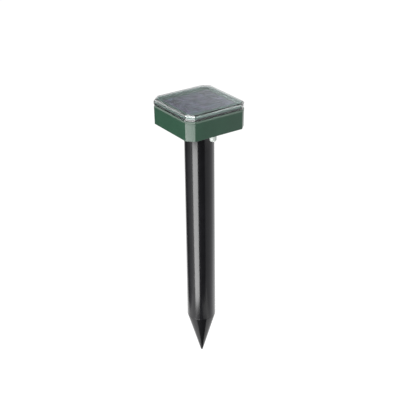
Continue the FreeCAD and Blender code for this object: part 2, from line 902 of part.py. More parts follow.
def battery_leads():
    level = "base_thickness + link_rise"
    end = "holder_length / 2"
    for label, side in (("battery_link_right", "1"), ("battery_link_left", "-1")):
        lead(label, [(f"{side} * link_place", end, level),
                     (f"{side} * link_place", "link_place", level),
                     (f"{side} * ({end})", "link_place", level)], bend="link_bend")
    for label, side in (("battery_lead_positive", "1"), ("battery_lead_negative", "-1")):
        place_x = f"{side} * (link_place - lead_inset)"
        place_y = f"-({end}) - lead_reach"
        lead(label, [(place_x, f"-({end})", level), (place_x, place_y, level),
                     (place_x, place_y, "board_level")])


def panel_leads():
    for label, side in (("panel_lead_positive", "1"), ("panel_lead_negative", "-1")):
        x = f"{side} * panel_lead_x"
        out_x = f"{side} * (panel_lead_x + panel_lead_out)"
        out_y = "panel_lead_y - panel_lead_back"
        lead(label, [(x, "panel_lead_y", BACKBOARD_LOW),
                     (x, "panel_lead_y", f"{BACKBOARD_LOW} - panel_lead_drop"),
                     (out_x, out_y, f"{BOARD_TOP} + panel_lead_out"), (out_x, out_y, BOARD_TOP)],
             bend="panel_lead_bend")


# ---- push switch ----------------------------------------------------------------------------------------


def switch():
    """Push switch in the base plate under the board, its plunger in a soft boot below the head."""
    y = "-switch_place"
    bore = "plunger_radius + running_gap"
    case = box("case", ("switch_width", "switch_width", "switch_top - base_thickness"),
               ("-switch_width / 2", f"{y} - switch_width / 2", "base_thickness"))
    bushing = cylinder("bushing", "bushing_radius", "bushing_end + base_thickness + 1",
                       ("0", y, "-bushing_end"))
    hollow = fuse("hollow", [
        cylinder("bore", bore, "bushing_end + spring_room_low", ("0", y, "-bushing_end")),
        cylinder("spring_room", "spring_room", "spring_room_height", ("0", y, "spring_room_low")),
    ])
    node("switch_body", cut("switch_body", fuse("solid_case", [case, bushing]), hollow))
    pins = [box("pin", ("pin_width", "pin_depth", f"{BOARD_TOP} + pin_width - switch_top"),
                (f"{side} * pin_place - pin_width / 2", f"{y} - pin_depth / 2", "switch_top"))
            for side in (-1, 1)]
    node("switch_terminals", group("switch_terminals", pins))
    foot = "plunger_foot - boot_end"
    plunger = [
        ("0", foot), ("plunger_head", foot), ("plunger_head", f"{foot} + plunger_head_height"),
        ("plunger_radius", f"{foot} + plunger_head_height"), ("plunger_radius", "plunger_collar_low"),
        ("plunger_collar", "plunger_collar_low"), ("plunger_collar", "plunger_collar_high"),
        ("plunger_pin", "plunger_collar_high"), ("plunger_pin", "plunger_top"), ("0", "plunger_top"),
    ]
    turned_part("switch_plunger", plunger, y=y)
    inner = "boot_radius - boot_wall"
    boot = [
        ("0", "-boot_end"), ("boot_radius * 0.7", "-boot_end"),
        ("boot_radius * 0.92", "boot_shoulder * 0.3 - boot_end"),
        ("boot_radius", "boot_shoulder - boot_end"), ("boot_radius", "-boot_flange_height"),
        ("boot_flange", "-boot_flange_height"), ("boot_flange", "0"), (inner, "0"),
        (inner, "boot_roof - boot_end"), ("0", "boot_roof - boot_end"),
    ]
    turned_part("switch_boot", boot, y=y)
    ceiling = "-boot_flange_height - retainer_gap"
    clamp = [
        ("boot_radius + boot_gap", "-boot_flange_height - retainer_floor"),
        ("retainer_radius", "-boot_flange_height - retainer_floor"), ("retainer_radius", "0"),
        ("boot_flange + boot_gap", "0"), ("boot_flange + boot_gap", ceiling),
        ("boot_radius + boot_gap", ceiling),
    ]
    turned_part("boot_retainer", clamp, y=y)


def switch_spring():
    """Coil spring between the plunger's collar and the roof of the switch, of eight-sided wire."""
    pitch = value("spring_pitch")
    coil_radius = value("spring_radius")
    wire = value("spring_wire")
    corners = [
        V(coil_radius + wire * math.cos(step * math.pi / 4), 0, wire * math.sin(step * math.pi / 4))
        for step in range(9)
    ]
    coil = Part.Wire(Part.makeHelix(pitch, pitch * value("spring_turns"), coil_radius))
    item = doc.addObject("Part::Feature", "switch_spring")
    item.Shape = coil.makePipeShell([Part.makePolygon(corners)], True, True)
    item.Placement = FreeCAD.Placement(V(0, -value("switch_place"), value("spring_low")),
                                       FreeCAD.Rotation())
    node("switch_spring", item)


# ---- stake ----------------------------------------------------------------------------------------------


def stake_collar():
    """Plug in the tube's top with a spigot and three bayonet lugs."""
    body = new_body("stake_collar")
    push = f"{TUBE_BORE} - push_gap"
    outline = [
        ("spigot_bore", "-spigot_plug"), (push, "-spigot_plug"), (push, "0"),
        ("spigot_radius", "0"), ("spigot_radius", "spigot_top"), ("spigot_bore", "spigot_top"),
    ]
    turned(body, "Revolution", outline)
    low = "ledge_top + turn_gap"
    lug = [
        ("spigot_radius - 0.5", low), ("spigot_radius + lug_reach", low),
        ("spigot_radius + lug_reach", f"{low} + lug_height"),
        ("spigot_radius - 0.5", f"{low} + lug_height"),
    ]
    around(body, [turned(body, "Revolution", lug, degrees="lug_degrees")], 3)
    node("stake_collar", body)


def stake_tip():
    """Hollow cone with a plug that is pushed into the tube."""
    push = f"{TUBE_BORE} - push_gap"
    foot = "-tube_length"
    outline = [
        ("0", f"{foot} - tip_length"),
        ("tip_end_radius", f"{foot} - tip_length + tip_point_height"),
        ("tube_radius", foot),
        (push, foot),
        (push, f"{foot} + tip_plug"),
        (f"{push} - tip_wall", f"{foot} + tip_plug"),
        (f"{push} - tip_wall", f"{foot} - tip_wall"),
        ("tip_root", f"{foot} - tip_length + tip_floor"),
        ("0", f"{foot} - tip_length + tip_floor"),
    ]
    turned_part("stake_tip", outline)


def speaker():
    """Small loudspeaker facing down. Heights are counted up from the front gasket's face."""
    def up(height):
        return f"speaker_face + {height}"

    ring("speaker_spacer", "spacer_bore", "speaker_radius", "-tube_length + tip_plug", "speaker_face")
    ring("speaker_gasket", "gasket_bore", "speaker_radius", "speaker_face", up("rim_low"))
    frame = [
        ("rim_radius", up("rim_low")), ("speaker_radius", up("rim_low")),
        ("speaker_radius", up("rim_high")), ("basket_shoulder", up("rim_high")),
        ("basket_radius", up("basket_high")), ("basket_bore", up("basket_high")),
        ("basket_bore", up("basket_high - basket_plate")),
        ("basket_radius - basket_skin", up("basket_high - basket_plate")),
        ("rim_radius", up("cone_low")),
    ]
    turned_part("speaker_frame", frame)
    ring("speaker_top_plate", "gap_radius", "plate_radius", up("basket_high"), up("plate_high"))
    ring("speaker_magnet", "magnet_bore", "magnet_radius", up("plate_high"), up("magnet_high"))
    yoke = [("0", up("basket_high")), ("pole_radius", up("basket_high")),
            ("pole_radius", up("magnet_high")), ("yoke_radius", up("magnet_high")),
            ("yoke_radius", up("yoke_high")), ("0", up("yoke_high"))]
    turned_part("speaker_yoke", yoke)
    ring("voice_coil", "voice_bore", "voice_radius", up("voice_low"), up("voice_high"))
    cone = [("voice_radius", up("voice_low")), ("cone_radius", up("cone_low")),
            ("cone_radius", up("cone_low + cone_skin")), ("voice_radius", up("voice_low + cone_skin"))]
    turned_part("speaker_cone", cone)
    cap_edge = "voice_radius - cap_edge"
    cap = [("0", up("cap_low")), (cap_edge, up("voice_low - cap_drop")), (cap_edge, up("voice_low")),
           ("0", up("cap_low + cone_skin"))]
    turned_part("dust_cap", cap)
    surround = [("cone_radius", up("cone_low")), ("rim_radius", up("surround_low")),
                ("rim_radius", up("surround_low + cone_skin")),
                ("cone_radius", up("cone_low + cone_skin"))]
    turned_part("speaker_surround", surround)
    tags = box("tag_board", ("tag_width", "tag_depth", "tag_height"),
               ("-tag_width / 2", "-tag_depth / 2", up("yoke_high")))
    node("speaker_terminals", tags)


def stake():
    ring("stake_tube", TUBE_BORE, "tube_radius", "-tube_length", "0")
    stake_collar()
    ring("tube_seal", "spigot_radius + push_gap", "tube_radius", "0", "seal_height")
    stake_tip()
    ring("lead_foam", "lead_radius + push_gap", f"{TUBE_BORE} - push_gap",
         "foam_top - foam_height", "foam_top")
    speaker()


def speaker_lead():
    """Lead on the tube's axis, in two halves that meet where the stake turns."""
    lead("speaker_lead_upper", [("0", "0", "board_level"), ("0", "0", "lead_meet")],
         radius="lead_radius")
    lead("speaker_lead_lower", [("0", "0", "lead_meet"),
                                ("0", "0", "speaker_face + yoke_high + tag_height")],
         radius="lead_radius")
    bore = "lead_radius + push_gap"
    grommet = [
        (bore, "chamber_top - grommet_lip"), ("grommet_radius", "chamber_top - grommet_lip"),
        ("grommet_radius", "chamber_top"), ("lead_hole", "chamber_top"), ("lead_hole", "collar_top"),
        ("grommet_radius", "collar_top"), ("grommet_radius", "collar_top + grommet_lip"),
        (bore, "collar_top + grommet_lip"),
    ]
    turned_part("lead_grommet", grommet)


# ---- the whole object -------------------------------------------------------------------------------------


def build():
    head_housing()
    base_plate()
    screws("base_screws", "boss_place", "base_head_radius", "base_head_sink", "base_head_height",
           "base_screw_radius", "base_screw_length", True, False)
    lid()
    gasket()
    panel_tray()
    window = ("panel_width - 2 * ledge_width", "panel_depth - 2 * ledge_width")
    slab("panel_tape", "panel_width", "panel_depth", TAPE_LOW, "tape_height", window)
    slab("panel_backboard", "panel_width", "panel_depth", BACKBOARD_LOW, "backboard_height")
    solar_cells()
    slab("panel_cover", "panel_width", "panel_depth", COVER_LOW, "cover_height")
    control_board()
    screws("board_screws", "post_place", "board_head_radius", f"{BOARD_TOP} + board_head_height",
           "board_head_height", "board_screw_radius", "board_screw_length", False, True)
    chip("control_chip", "chip_x", "chip_y", 4)
    capacitors()
    boost_coil()
    transistors()
    small_parts()
    for side, degrees in BATTERY_TURNS:
        battery(side, degrees)
    battery_contacts()
    battery_leads()
    panel_leads()
    switch()
    switch_spring()
    stake()
    speaker_lead()


def check_and_write():
    doc.recompute()
    for item in doc.Objects:
        if {"Invalid", "Error"} & set(item.State):
            sys.exit(f"{item.Label} is {item.State}")
    for item in nodes:
        if item.Shape.isNull() or not item.Shape.isValid() or not item.Shape.Solids:
            sys.exit(f"{item.Label} has no valid solid")
    for item in nodes:
        item.Shape.exportStep(f"parts/{item.Label}.step")
        size = item.Shape.BoundBox
        print(f"{item.Label}: {len(item.Shape.Solids)} solids, {item.Shape.Volume:.1f} mm3, "
              f"x {size.XMin:.1f}..{size.XMax:.1f} y {size.YMin:.1f}..{size.YMax:.1f} "
              f"z {size.ZMin:.1f}..{size.ZMax:.1f}")
    print(len(nodes), "nodes")


build()
check_and_write()
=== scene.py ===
import json
import math

import bmesh
import bpy
from mathutils import Matrix, Vector


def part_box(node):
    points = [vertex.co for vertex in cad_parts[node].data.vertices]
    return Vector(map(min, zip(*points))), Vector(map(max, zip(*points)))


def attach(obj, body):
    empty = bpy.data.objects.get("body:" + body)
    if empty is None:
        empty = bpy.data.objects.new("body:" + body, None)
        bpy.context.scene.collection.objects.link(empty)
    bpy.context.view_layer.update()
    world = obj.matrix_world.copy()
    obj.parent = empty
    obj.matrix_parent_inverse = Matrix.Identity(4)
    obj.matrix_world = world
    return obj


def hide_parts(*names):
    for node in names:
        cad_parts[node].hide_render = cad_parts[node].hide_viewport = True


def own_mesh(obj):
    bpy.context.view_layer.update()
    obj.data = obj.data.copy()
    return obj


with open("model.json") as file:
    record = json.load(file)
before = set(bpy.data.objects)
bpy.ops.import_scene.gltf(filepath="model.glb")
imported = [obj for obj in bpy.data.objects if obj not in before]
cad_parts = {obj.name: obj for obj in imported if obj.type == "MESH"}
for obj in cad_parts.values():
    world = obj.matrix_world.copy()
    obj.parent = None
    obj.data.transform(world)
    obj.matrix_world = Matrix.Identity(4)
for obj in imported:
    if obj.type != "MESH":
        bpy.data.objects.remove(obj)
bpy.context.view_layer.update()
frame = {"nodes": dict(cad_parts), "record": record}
nodes = frame["nodes"]
MM = 0.001


# ---- sizes read from the frame ----------------------------------------------------------------

_, HOUSING_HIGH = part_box("head_housing")
LID_LOW, LID_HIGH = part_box("clear_lid")
SEAL_LOW, SEAL_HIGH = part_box("lid_gasket")
TRAY_LOW, TRAY_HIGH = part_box("panel_tray")
TAPE_LOW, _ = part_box("panel_tape")
_, COVER_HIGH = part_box("panel_cover")
_, SCREWS_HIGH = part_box("base_screws")
TUBE_LOW, TUBE_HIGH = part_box("stake_tube")
TIP_LOW, TIP_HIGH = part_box("stake_tip")
BOOT_LOW, BOOT_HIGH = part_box("switch_boot")
SPRING_LOW, SPRING_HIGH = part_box("switch_spring")

TUBE_RADIUS = TUBE_HIGH.x
CORNER_CUT = 9.5 * MM
WALL = 2 * MM
DIAGONAL = 2 - math.sqrt(2)     # how fast the corner cut shrinks as an octagon is drawn in
SPARE = 1e-7                    # points closer than this are one point


# ---- meshes -------------------------------------------------------------------------------------


def rounded_octagon(half, cut, radius, height, steps=5):
    """A rectangle with cut corners at this height, every corner rounded to the radius."""
    half_x, half_y = half if isinstance(half, tuple) else (half, half)
    x, y = half_x - radius, half_y - radius
    leg = cut - DIAGONAL * radius
    centres = [
        (leg - x, -y), (x - leg, -y), (x, leg - y), (x, y - leg),
        (x - leg, y), (leg - x, y), (-x, y - leg), (-x, leg - y),
    ]
    points = []
    for index, (x, y) in enumerate(centres):
        start = math.radians(-135 + 45 * index)
        for step in range(steps + 1):
            angle = start + math.radians(45) * step / steps
            points.append(Vector((x + radius * math.cos(angle), y + radius * math.sin(angle), height)))
    return points


def circle(radius, height, centre=(0, 0), segments=128):
    """A ring of points round a vertical line."""
    return [
        Vector((centre[0] + radius * math.cos(2 * math.pi * step / segments),
                centre[1] + radius * math.sin(2 * math.pi * step / segments), height))
        for step in range(segments)
    ]


def softened(outline, closed=True, steps=5):
    """Rounds the corners of an outline of (distance, height, radius) points."""
    count = len(outline)
    result = []
    for index, (across, height, radius) in enumerate(outline):
        corner = Vector((across, height))
        ends = not closed and index in (0, count - 1)
        if radius <= 0 or ends:
            result.append((across, height))
            continue
        before = Vector(outline[index - 1][:2]) - corner
        after = Vector(outline[(index + 1) % count][:2]) - corner
        before.normalize()
        after.normalize()
        half_angle = before.angle(after) / 2
        reach = radius / math.tan(half_angle)
        centre = corner + (before + after).normalized() * (radius / math.sin(half_angle))
        first = corner + before * reach - centre
        last = corner + after * reach - centre
        sweep = first.angle(last)
        for step in range(steps + 1):
            share = step / steps
            spot = (first * math.sin((1 - share) * sweep) + last * math.sin(share * sweep)) / math.sin(sweep)
            result.append(tuple(centre + spot))
    return result


def skin(bm, rings, closed=False):
    """Joins rings of equal length with quads; an open run is capped at both ends."""
    made = [[bm.verts.new(point) for point in points] for points in rings]
    count = len(made[0])
    pairs = list(zip(made, made[1:]))
    if closed:
        pairs.append((made[-1], made[0]))
    for low, high in pairs:
        for index in range(count):
            after = (index + 1) % count
            bm.faces.new((low[index], low[after], high[after], high[index]))
    if not closed:
        bm.faces.new(list(reversed(made[0])))
        bm.faces.new(made[-1])


def piece(name, bm, body, mat, stands_for=(), crease=32):
    """Makes an object of the mesh with smooth shading and sharp edges past the crease angle."""
    bmesh.ops.remove_doubles(bm, verts=bm.verts, dist=SPARE)
    bmesh.ops.recalc_face_normals(bm, faces=bm.faces)
    limit = math.radians(crease)
    for face in bm.faces:
        face.smooth = True
    for edge in bm.edges:
        edge.smooth = len(edge.link_faces) == 2 and edge.calc_face_angle(0) < limit
    mesh = bpy.data.meshes.new(name)
    bm.to_mesh(mesh)
    bm.free()
    obj = bpy.data.objects.new(name, mesh)
    bpy.context.scene.collection.objects.link(obj)
    mesh.materials.append(mat)
    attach(obj, body)
    if stands_for:
        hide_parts(*stands_for)
    return obj


def octagon_shell(bm, half, outline, corner_radius, closed=True):
    """A wall round the head: outline points are (inset from half, height, rounding)."""
    rings = []
    for inset, height in softened(outline, closed):
        radius = max(corner_radius - inset, 0.3 * MM)
        rings.append(rounded_octagon(half - inset, CORNER_CUT - DIAGONAL * inset, radius, height))
    skin(bm, rings, closed)


def turned(bm, outline, centre=(0, 0), closed=True, segments=128, steps=5):
    """A turned shape: outline points are (radius, height, rounding)."""
    axis = 0.001 * MM
    rings = [circle(max(radius, axis), height, centre, segments)
             for radius, height in softened(outline, closed, steps)]
    skin(bm, rings, closed)


# ---- materials ------------------------------------------------------------------------------------


def new_material(name):
    mat = bpy.data.materials.new(name)
    mat.use_nodes = True
    tree = mat.node_tree
    shader = tree.nodes["Principled BSDF"]
    place = tree.nodes.new("ShaderNodeTexCoord")
    return mat, tree, shader, place.outputs["Object"]


def noise(tree, place, size, detail=3.0, stretch=(1, 1, 1)):
    """Noise whose patches are about size metres across."""
    mapping = tree.nodes.new("ShaderNodeMapping")
    mapping.inputs["Scale"].default_value = stretch
    tree.links.new(place, mapping.inputs["Vector"])
    texture = tree.nodes.new("ShaderNodeTexNoise")
    texture.inputs["Scale"].default_value = 1 / size
    texture.inputs["Detail"].default_value = detail
    tree.links.new(mapping.outputs["Vector"], texture.inputs["Vector"])
    return texture.outputs["Fac"]


def ramp(tree, source, low, high, dark, light):
    """Colours running from dark to light as the source runs from low to high."""
    node = tree.nodes.new("ShaderNodeValToRGB")
    first, last = node.color_ramp.elements
    first.position, last.position = low, high
    first.color, last.color = (*dark, 1), (*light, 1)
    tree.links.new(source, node.inputs["Fac"])
    return node.outputs["Color"]


def spread(tree, source, low, high):
    """The source's middle range carried to low..high."""
    node = tree.nodes.new("ShaderNodeMapRange")
    node.inputs["From Min"].default_value = 0.3
    node.inputs["From Max"].default_value = 0.7
    node.inputs["To Min"].default_value = low
    node.inputs["To Max"].default_value = high
    tree.links.new(source, node.inputs["Value"])
    return node.outputs["Result"]


def blend(tree, kind, share, first, second):
    """Mixes two colours; each setting is a socket or a plain value."""
    node = tree.nodes.new("ShaderNodeMix")
    node.data_type = "RGBA"
    node.blend_type = kind
    sockets = [socket for socket in node.inputs if socket.enabled]
    for socket, source in zip(sockets, (share, first, second)):
        if isinstance(source, bpy.types.NodeSocket):
            tree.links.new(source, socket)
        else:
            socket.default_value = source
    return next(socket for socket in node.outputs if socket.enabled)


def bump(tree, source, depth, below=None):
    node = tree.nodes.new("ShaderNodeBump")
    node.inputs["Distance"].default_value = depth
    node.inputs["Strength"].default_value = 1.0
    tree.links.new(source, node.inputs["Height"])
    if below is not None:
        tree.links.new(below, node.inputs["Normal"])
    return node.outputs["Normal"]


def moulded(name, color, roughness, patchy=0.12, grain=0.5 * MM, depth=0.006 * MM, metallic=0.0,
            ior=1.5, stretch=(1, 1, 1)):
    """A moulded, rolled or coated surface: soft colour patches, fine grain and uneven gloss."""
    mat, tree, shader, place = new_material(name)
    dark = [channel * (1 - patchy) for channel in color]
    light = [min(1, channel * (1 + patchy)) for channel in color]
    patches = noise(tree, place, 14 * MM, 5)
    tree.links.new(ramp(tree, patches, 0.3, 0.7, dark, light), shader.inputs["Base Color"])
    fine = noise(tree, place, grain, 2, stretch)
    tree.links.new(spread(tree, fine, roughness * 0.88, min(1, roughness * 1.12)), shader.inputs["Roughness"])
    tree.links.new(bump(tree, fine, depth), shader.inputs["Normal"])
    shader.inputs["Metallic"].default_value = metallic
    shader.inputs["IOR"].default_value = ior
    return mat


def clear(name, tint, roughness, ior, haze=0.0):
    """Clear plastic that lets lamps through to what lies under it, with faint moulding marks."""
    mat, tree, shader, place = new_material(name)
    shader.inputs["Base Color"].default_value = (*tint, 1)
    shader.inputs["Transmission Weight"].default_value = 1.0
    shader.inputs["IOR"].default_value = ior
    marks = noise(tree, place, 9 * MM, 3)
    tree.links.new(spread(tree, marks, roughness, roughness + haze), shader.inputs["Roughness"])
    tree.links.new(bump(tree, marks, 0.004 * MM), shader.inputs["Normal"])
    lamps = tree.nodes.new("ShaderNodeLightPath")
    through = tree.nodes.new("ShaderNodeBsdfTransparent")
    through.inputs["Color"].default_value = (*tint, 1)
    mix = tree.nodes.new("ShaderNodeMixShader")
    output = tree.nodes["Material Output"]
    tree.links.new(lamps.outputs["Is Shadow Ray"], mix.inputs["Fac"])
    tree.links.new(shader.outputs["BSDF"], mix.inputs[1])
    tree.links.new(through.outputs["BSDF"], mix.inputs[2])
    tree.links.new(mix.outputs["Shader"], output.inputs["Surface"])
    return mat


def silicon(name):
    """Crystalline cell: large grains that differ a little in tone, with fine collector lines."""
    mat, tree, shader, place = new_material(name)
    grains = tree.nodes.new("ShaderNodeTexVoronoi")
    grains.inputs["Scale"].default_value = 1 / (7 * MM)
    grains.inputs["Randomness"].default_value = 1.0
    tree.links.new(place, grains.inputs["Vector"])
    tone = tree.nodes.new("ShaderNodeSeparateColor")
    tree.links.new(grains.outputs["Color"], tone.inputs["Color"])
    tint = ramp(tree, tone.outputs["Red"], 0.0, 1.0, (0.160, 0.125, 0.200), (0.100, 0.150, 0.185))
    clouds = ramp(tree, noise(tree, place, 16 * MM, 2), 0.35, 0.65, (0.18, 0.18, 0.22), (1.0, 0.95, 1.0))
    patches = blend(tree, "MULTIPLY", 1.0, tint, clouds)
    lines = tree.nodes.new("ShaderNodeTexWave")
    lines.wave_type = "BANDS"
    lines.bands_direction = "X"
    lines.inputs["Scale"].default_value = 0.314 / (2 * MM)
    tree.links.new(place, lines.inputs["Vector"])
    thin = ramp(tree, lines.outputs["Fac"], 0.93, 0.98, (0, 0, 0), (1, 1, 1))
    silver = blend(tree, "MIX", thin, patches, (0.16, 0.16, 0.19, 1))
    tree.links.new(silver, shader.inputs["Base Color"])
    tree.links.new(spread(tree, tone.outputs["Green"], 0.22, 0.4), shader.inputs["Roughness"])
    tree.links.new(bump(tree, noise(tree, place, 0.4 * MM, 2), 0.002 * MM), shader.inputs["Normal"])
    return mat


GREEN = (0.016, 0.054, 0.031)
materials = {
    "green_plastic": moulded("green_plastic", GREEN, 0.34, 0.08, 0.6 * MM, 0.008 * MM),
    "clear_plastic": clear("clear_plastic", (0.93, 0.96, 0.955), 0.02, 1.49, 0.04),
    "black_rubber": moulded("black_rubber", (0.006, 0.008, 0.008), 0.55, ior=1.12),
    "tray_plastic": moulded("tray_plastic", (0.070, 0.108, 0.096), 0.4),
    "panel_glass": clear("panel_glass", (0.95, 0.95, 0.97), 0.05, 1.5, 0.06),
    "solar_cell": silicon("solar_cell"),
    "ribbon_metal": moulded("ribbon_metal", (0.55, 0.56, 0.58), 0.35, metallic=1.0),
    "board_laminate": moulded("board_laminate", (0.02, 0.10, 0.05), 0.32),
    "black_plastic": moulded("black_plastic", (0.005, 0.005, 0.0055), 0.16),
    "black_tube": moulded("black_tube", (0.006, 0.006, 0.007), 0.16, 0.2, 0.35 * MM, 0.0015 * MM),
    "zinc_steel": moulded("zinc_steel", (0.55, 0.55, 0.53), 0.32, metallic=1.0),
    "copper": moulded("copper", (0.62, 0.25, 0.10), 0.3, metallic=1.0, stretch=(1, 1, 6)),
    "component_case": moulded("component_case", (0.02, 0.02, 0.022), 0.4),
    "resistor_body": moulded("resistor_body", (0.28, 0.42, 0.52), 0.3),
    "battery_sleeve": moulded("battery_sleeve", (0.02, 0.10, 0.28), 0.22),
    "red_insulation": moulded("red_insulation", (0.45, 0.02, 0.015), 0.4),
    "black_insulation": moulded("black_insulation", (0.012, 0.012, 0.012), 0.4),
    "white_silicone": moulded("white_silicone", (0.56, 0.60, 0.57), 0.38, 0.04),
    "foam": moulded("foam", (0.03, 0.03, 0.032), 0.9, 0.4, 0.8 * MM, 0.15 * MM),
    "adhesive_tape": moulded("adhesive_tape", (0.75, 0.75, 0.70), 0.6),
    "ferrite": moulded("ferrite", (0.03, 0.03, 0.032), 0.55),
    "speaker_film": moulded("speaker_film", (0.10, 0.10, 0.10), 0.3),
}


# ---- CAD nodes that stay: the finish of their slot ---------------------------------------------------


def dress_cad_nodes():
    for row in frame["record"]["subparts"]:
        obj = nodes[row["node"]]
        obj.data.materials.clear()
        obj.data.materials.append(materials[row["material_slot"]])


# ---- head --------------------------------------------------------------------------------------------


def housing():
    """Green wall with a rounded lip round its top, its underside edge softened."""
    bm = bmesh.new()
    proud = 0.35 * MM
    base = HOUSING_HIGH.x - proud
    draft = 0.3 * MM
    top = HOUSING_HIGH.z
    lip_height = 2.4 * MM
    slope_width, slope_height = 1.2 * MM, 1.9 * MM
    outline = [
        (proud + draft + WALL, 0, 0.3 * MM),
        (proud + draft, 0, 0.5 * MM),
        (proud, top - lip_height - 0.2 * MM, 0.3 * MM),
        (0, top - lip_height + 0.3 * MM, 0.2 * MM),
        (0, top - slope_height, 0.2 * MM),
        (slope_width, top, 0.3 * MM),
        (proud + WALL, top, 0.3 * MM),
    ]
    octagon_shell(bm, HOUSING_HIGH.x, outline, 1.2 * MM)
    screw_head, pilot, boss = 2.9 * MM, 1.45 * MM, 4.3 * MM
    boss_low, boss_top = 2.6 * MM, TRAY_LOW.z
    place = SCREWS_HIGH.x - screw_head
    outline = [(pilot, boss_low, 0), (boss, boss_low, 0), (boss, boss_top, 0.3 * MM), (pilot, boss_top, 0)]
    for x in (-place, place):
        for y in (-place, place):
            turned(bm, outline, (x, y), segments=32)
    return piece("housing_shell", bm, "head", materials["green_plastic"], ["head_housing"])


def gasket():
    """Soft black bead squeezed between the lid and the housing, with a thin upstand inside the lid."""
    bm = bmesh.new()
    edge = SEAL_HIGH.x
    bead = 0.4 * MM
    low, flat, high = SEAL_LOW.z, SEAL_LOW.z + 1 * MM, SEAL_HIGH.z
    rise_out, rise_in = 1.0 * MM, 1.5 * MM
    outline = [
        (0, low, bead), (0, flat, bead), (rise_out, flat, 0.1 * MM), (rise_out, high, 0.15 * MM),
        (rise_in, high, 0.15 * MM), (rise_in, low, 0.1 * MM),
    ]
    octagon_shell(bm, edge, outline, 1.0 * MM)
    return piece("lid_seal", bm, "head", materials["black_rubber"], ["lid_gasket"])


def tray():
    """Panel frame: a stepped rim under the lid round the sunk panel, on a skirt."""
    bm = bmesh.new()
    half = TRAY_HIGH.x
    low, top = TRAY_LOW.z, TRAY_HIGH.z
    cut = CORNER_CUT - DIAGONAL * WALL
    skirt = 1.5 * MM
    gap, ledge, ease = 0.2 * MM, 4 * MM, 0.3 * MM
    seat = TAPE_LOW.z
    under = top - 5.6 * MM
    groove = 0.35 * MM

    def ring(inset, height, radius=1.0 * MM):
        return rounded_octagon(half - inset, cut - DIAGONAL * inset, radius, height)

    def opening(wider, height):
        size = (COVER_HIGH.x + wider, COVER_HIGH.y + wider)
        return rounded_octagon(size, 1 * MM, 0.6 * MM, height)

    rings = [ring(skirt, under, 0.4 * MM), ring(skirt, low, 0.4 * MM), ring(0, low),
             ring(0, top - 0.5 * MM), ring(0.15 * MM, top - 0.15 * MM), ring(0.5 * MM, top)]
    for inset in (1.6 * MM, 2.9 * MM):
        rings += [ring(inset, top), ring(inset + 0.15 * MM, top - groove),
                  ring(inset + 0.55 * MM, top - groove), ring(inset + 0.7 * MM, top)]
    rings += [opening(gap + ease, top), opening(gap, top - ease), opening(gap, seat),
              opening(-ledge, seat), opening(-ledge, under)]
    skin(bm, rings, closed=True)
    return piece("panel_frame", bm, "head", materials["tray_plastic"], ["panel_tray"])


def lid():
    """Clear cover, 2 mm thick, with a bevelled and softened top edge."""
    bm = bmesh.new()
    bevel, inward = 2.5 * MM, 8 * MM
    low, high = LID_LOW.z, LID_HIGH.z
    outline = [
        (WALL + inward, high - WALL, 0),
        (WALL, high - WALL, 0.8 * MM),
        (WALL, low, 0.25 * MM),
        (0, low, 0.35 * MM),
        (0, high - bevel, 0.5 * MM),
        (bevel, high, 0.6 * MM),
        (bevel + inward, high, 0),
    ]
    octagon_shell(bm, LID_HIGH.x, outline, 1.2 * MM, closed=False)
    return piece("lid_shell", bm, "head", materials["clear_plastic"], ["clear_lid"])


def spring():
    """Coil spring of round wire, four turns, given a mesh of its own."""
    bm = bmesh.new()
    middle = (SPRING_LOW + SPRING_HIGH) / 2
    wire, turns, steps = 0.24 * MM, 4, 144
    coil = (SPRING_HIGH.x - SPRING_LOW.x) / 2 - wire
    first, last = SPRING_LOW.z + wire, SPRING_HIGH.z - wire
    section = circle(wire, 0, segments=10)
    rings = []
    for step in range(steps + 1):
        share = step / steps
        angle = 2 * math.pi * turns * share
        outward = Vector((math.cos(angle), math.sin(angle), 0))
        core = Vector((middle.x, middle.y, first + (last - first) * share)) + outward * coil
        rings.append([core + outward * spot.x + Vector((0, 0, spot.y)) for spot in section])
    skin(bm, rings)
    obj = piece("plunger_spring", bm, "head", materials["zinc_steel"], ["switch_spring"],
                crease=60)
    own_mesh(obj)
    return obj


# ---- stake -------------------------------------------------------------------------------------------


def tube():
    """Straight round tube with its cut edges eased."""
    bm = bmesh.new()
    bore = TUBE_RADIUS - 1.2 * MM
    ease = 0.25 * MM
    low, high = TUBE_LOW.z, TUBE_HIGH.z
    outline = [(TUBE_RADIUS, low, ease), (TUBE_RADIUS, high, ease), (bore, high, ease), (bore, low, ease)]
    turned(bm, outline, segments=192, steps=3)
    return piece("tube_shell", bm, "stake", materials["black_tube"], ["stake_tube"])


def tip():
    """Hollow moulded cone with a rounded point and a plug up inside the tube."""
    bm = bmesh.new()
    push = TUBE_RADIUS - 1.25 * MM
    wall, solid_point = 2.5 * MM, 14 * MM
    shoulder = TUBE_LOW.z
    low, high = TIP_LOW.z, TIP_HIGH.z
    outline = [
        (0, low, 0),
        (1.2 * MM, low, 0.9 * MM),
        (TUBE_RADIUS, shoulder, 0.4 * MM),
        (push, shoulder, 0.1 * MM),
        (push, high, 0.4 * MM),
        (push - wall, high, 0.3 * MM),
        (push - wall, shoulder - 2 * MM, 1 * MM),
        (wall, low + solid_point, 1 * MM),
        (0, low + solid_point, 0),
    ]
    turned(bm, outline, closed=False, segments=192)
    return piece("cone_tip", bm, "stake", materials["black_plastic"], ["stake_tip"])


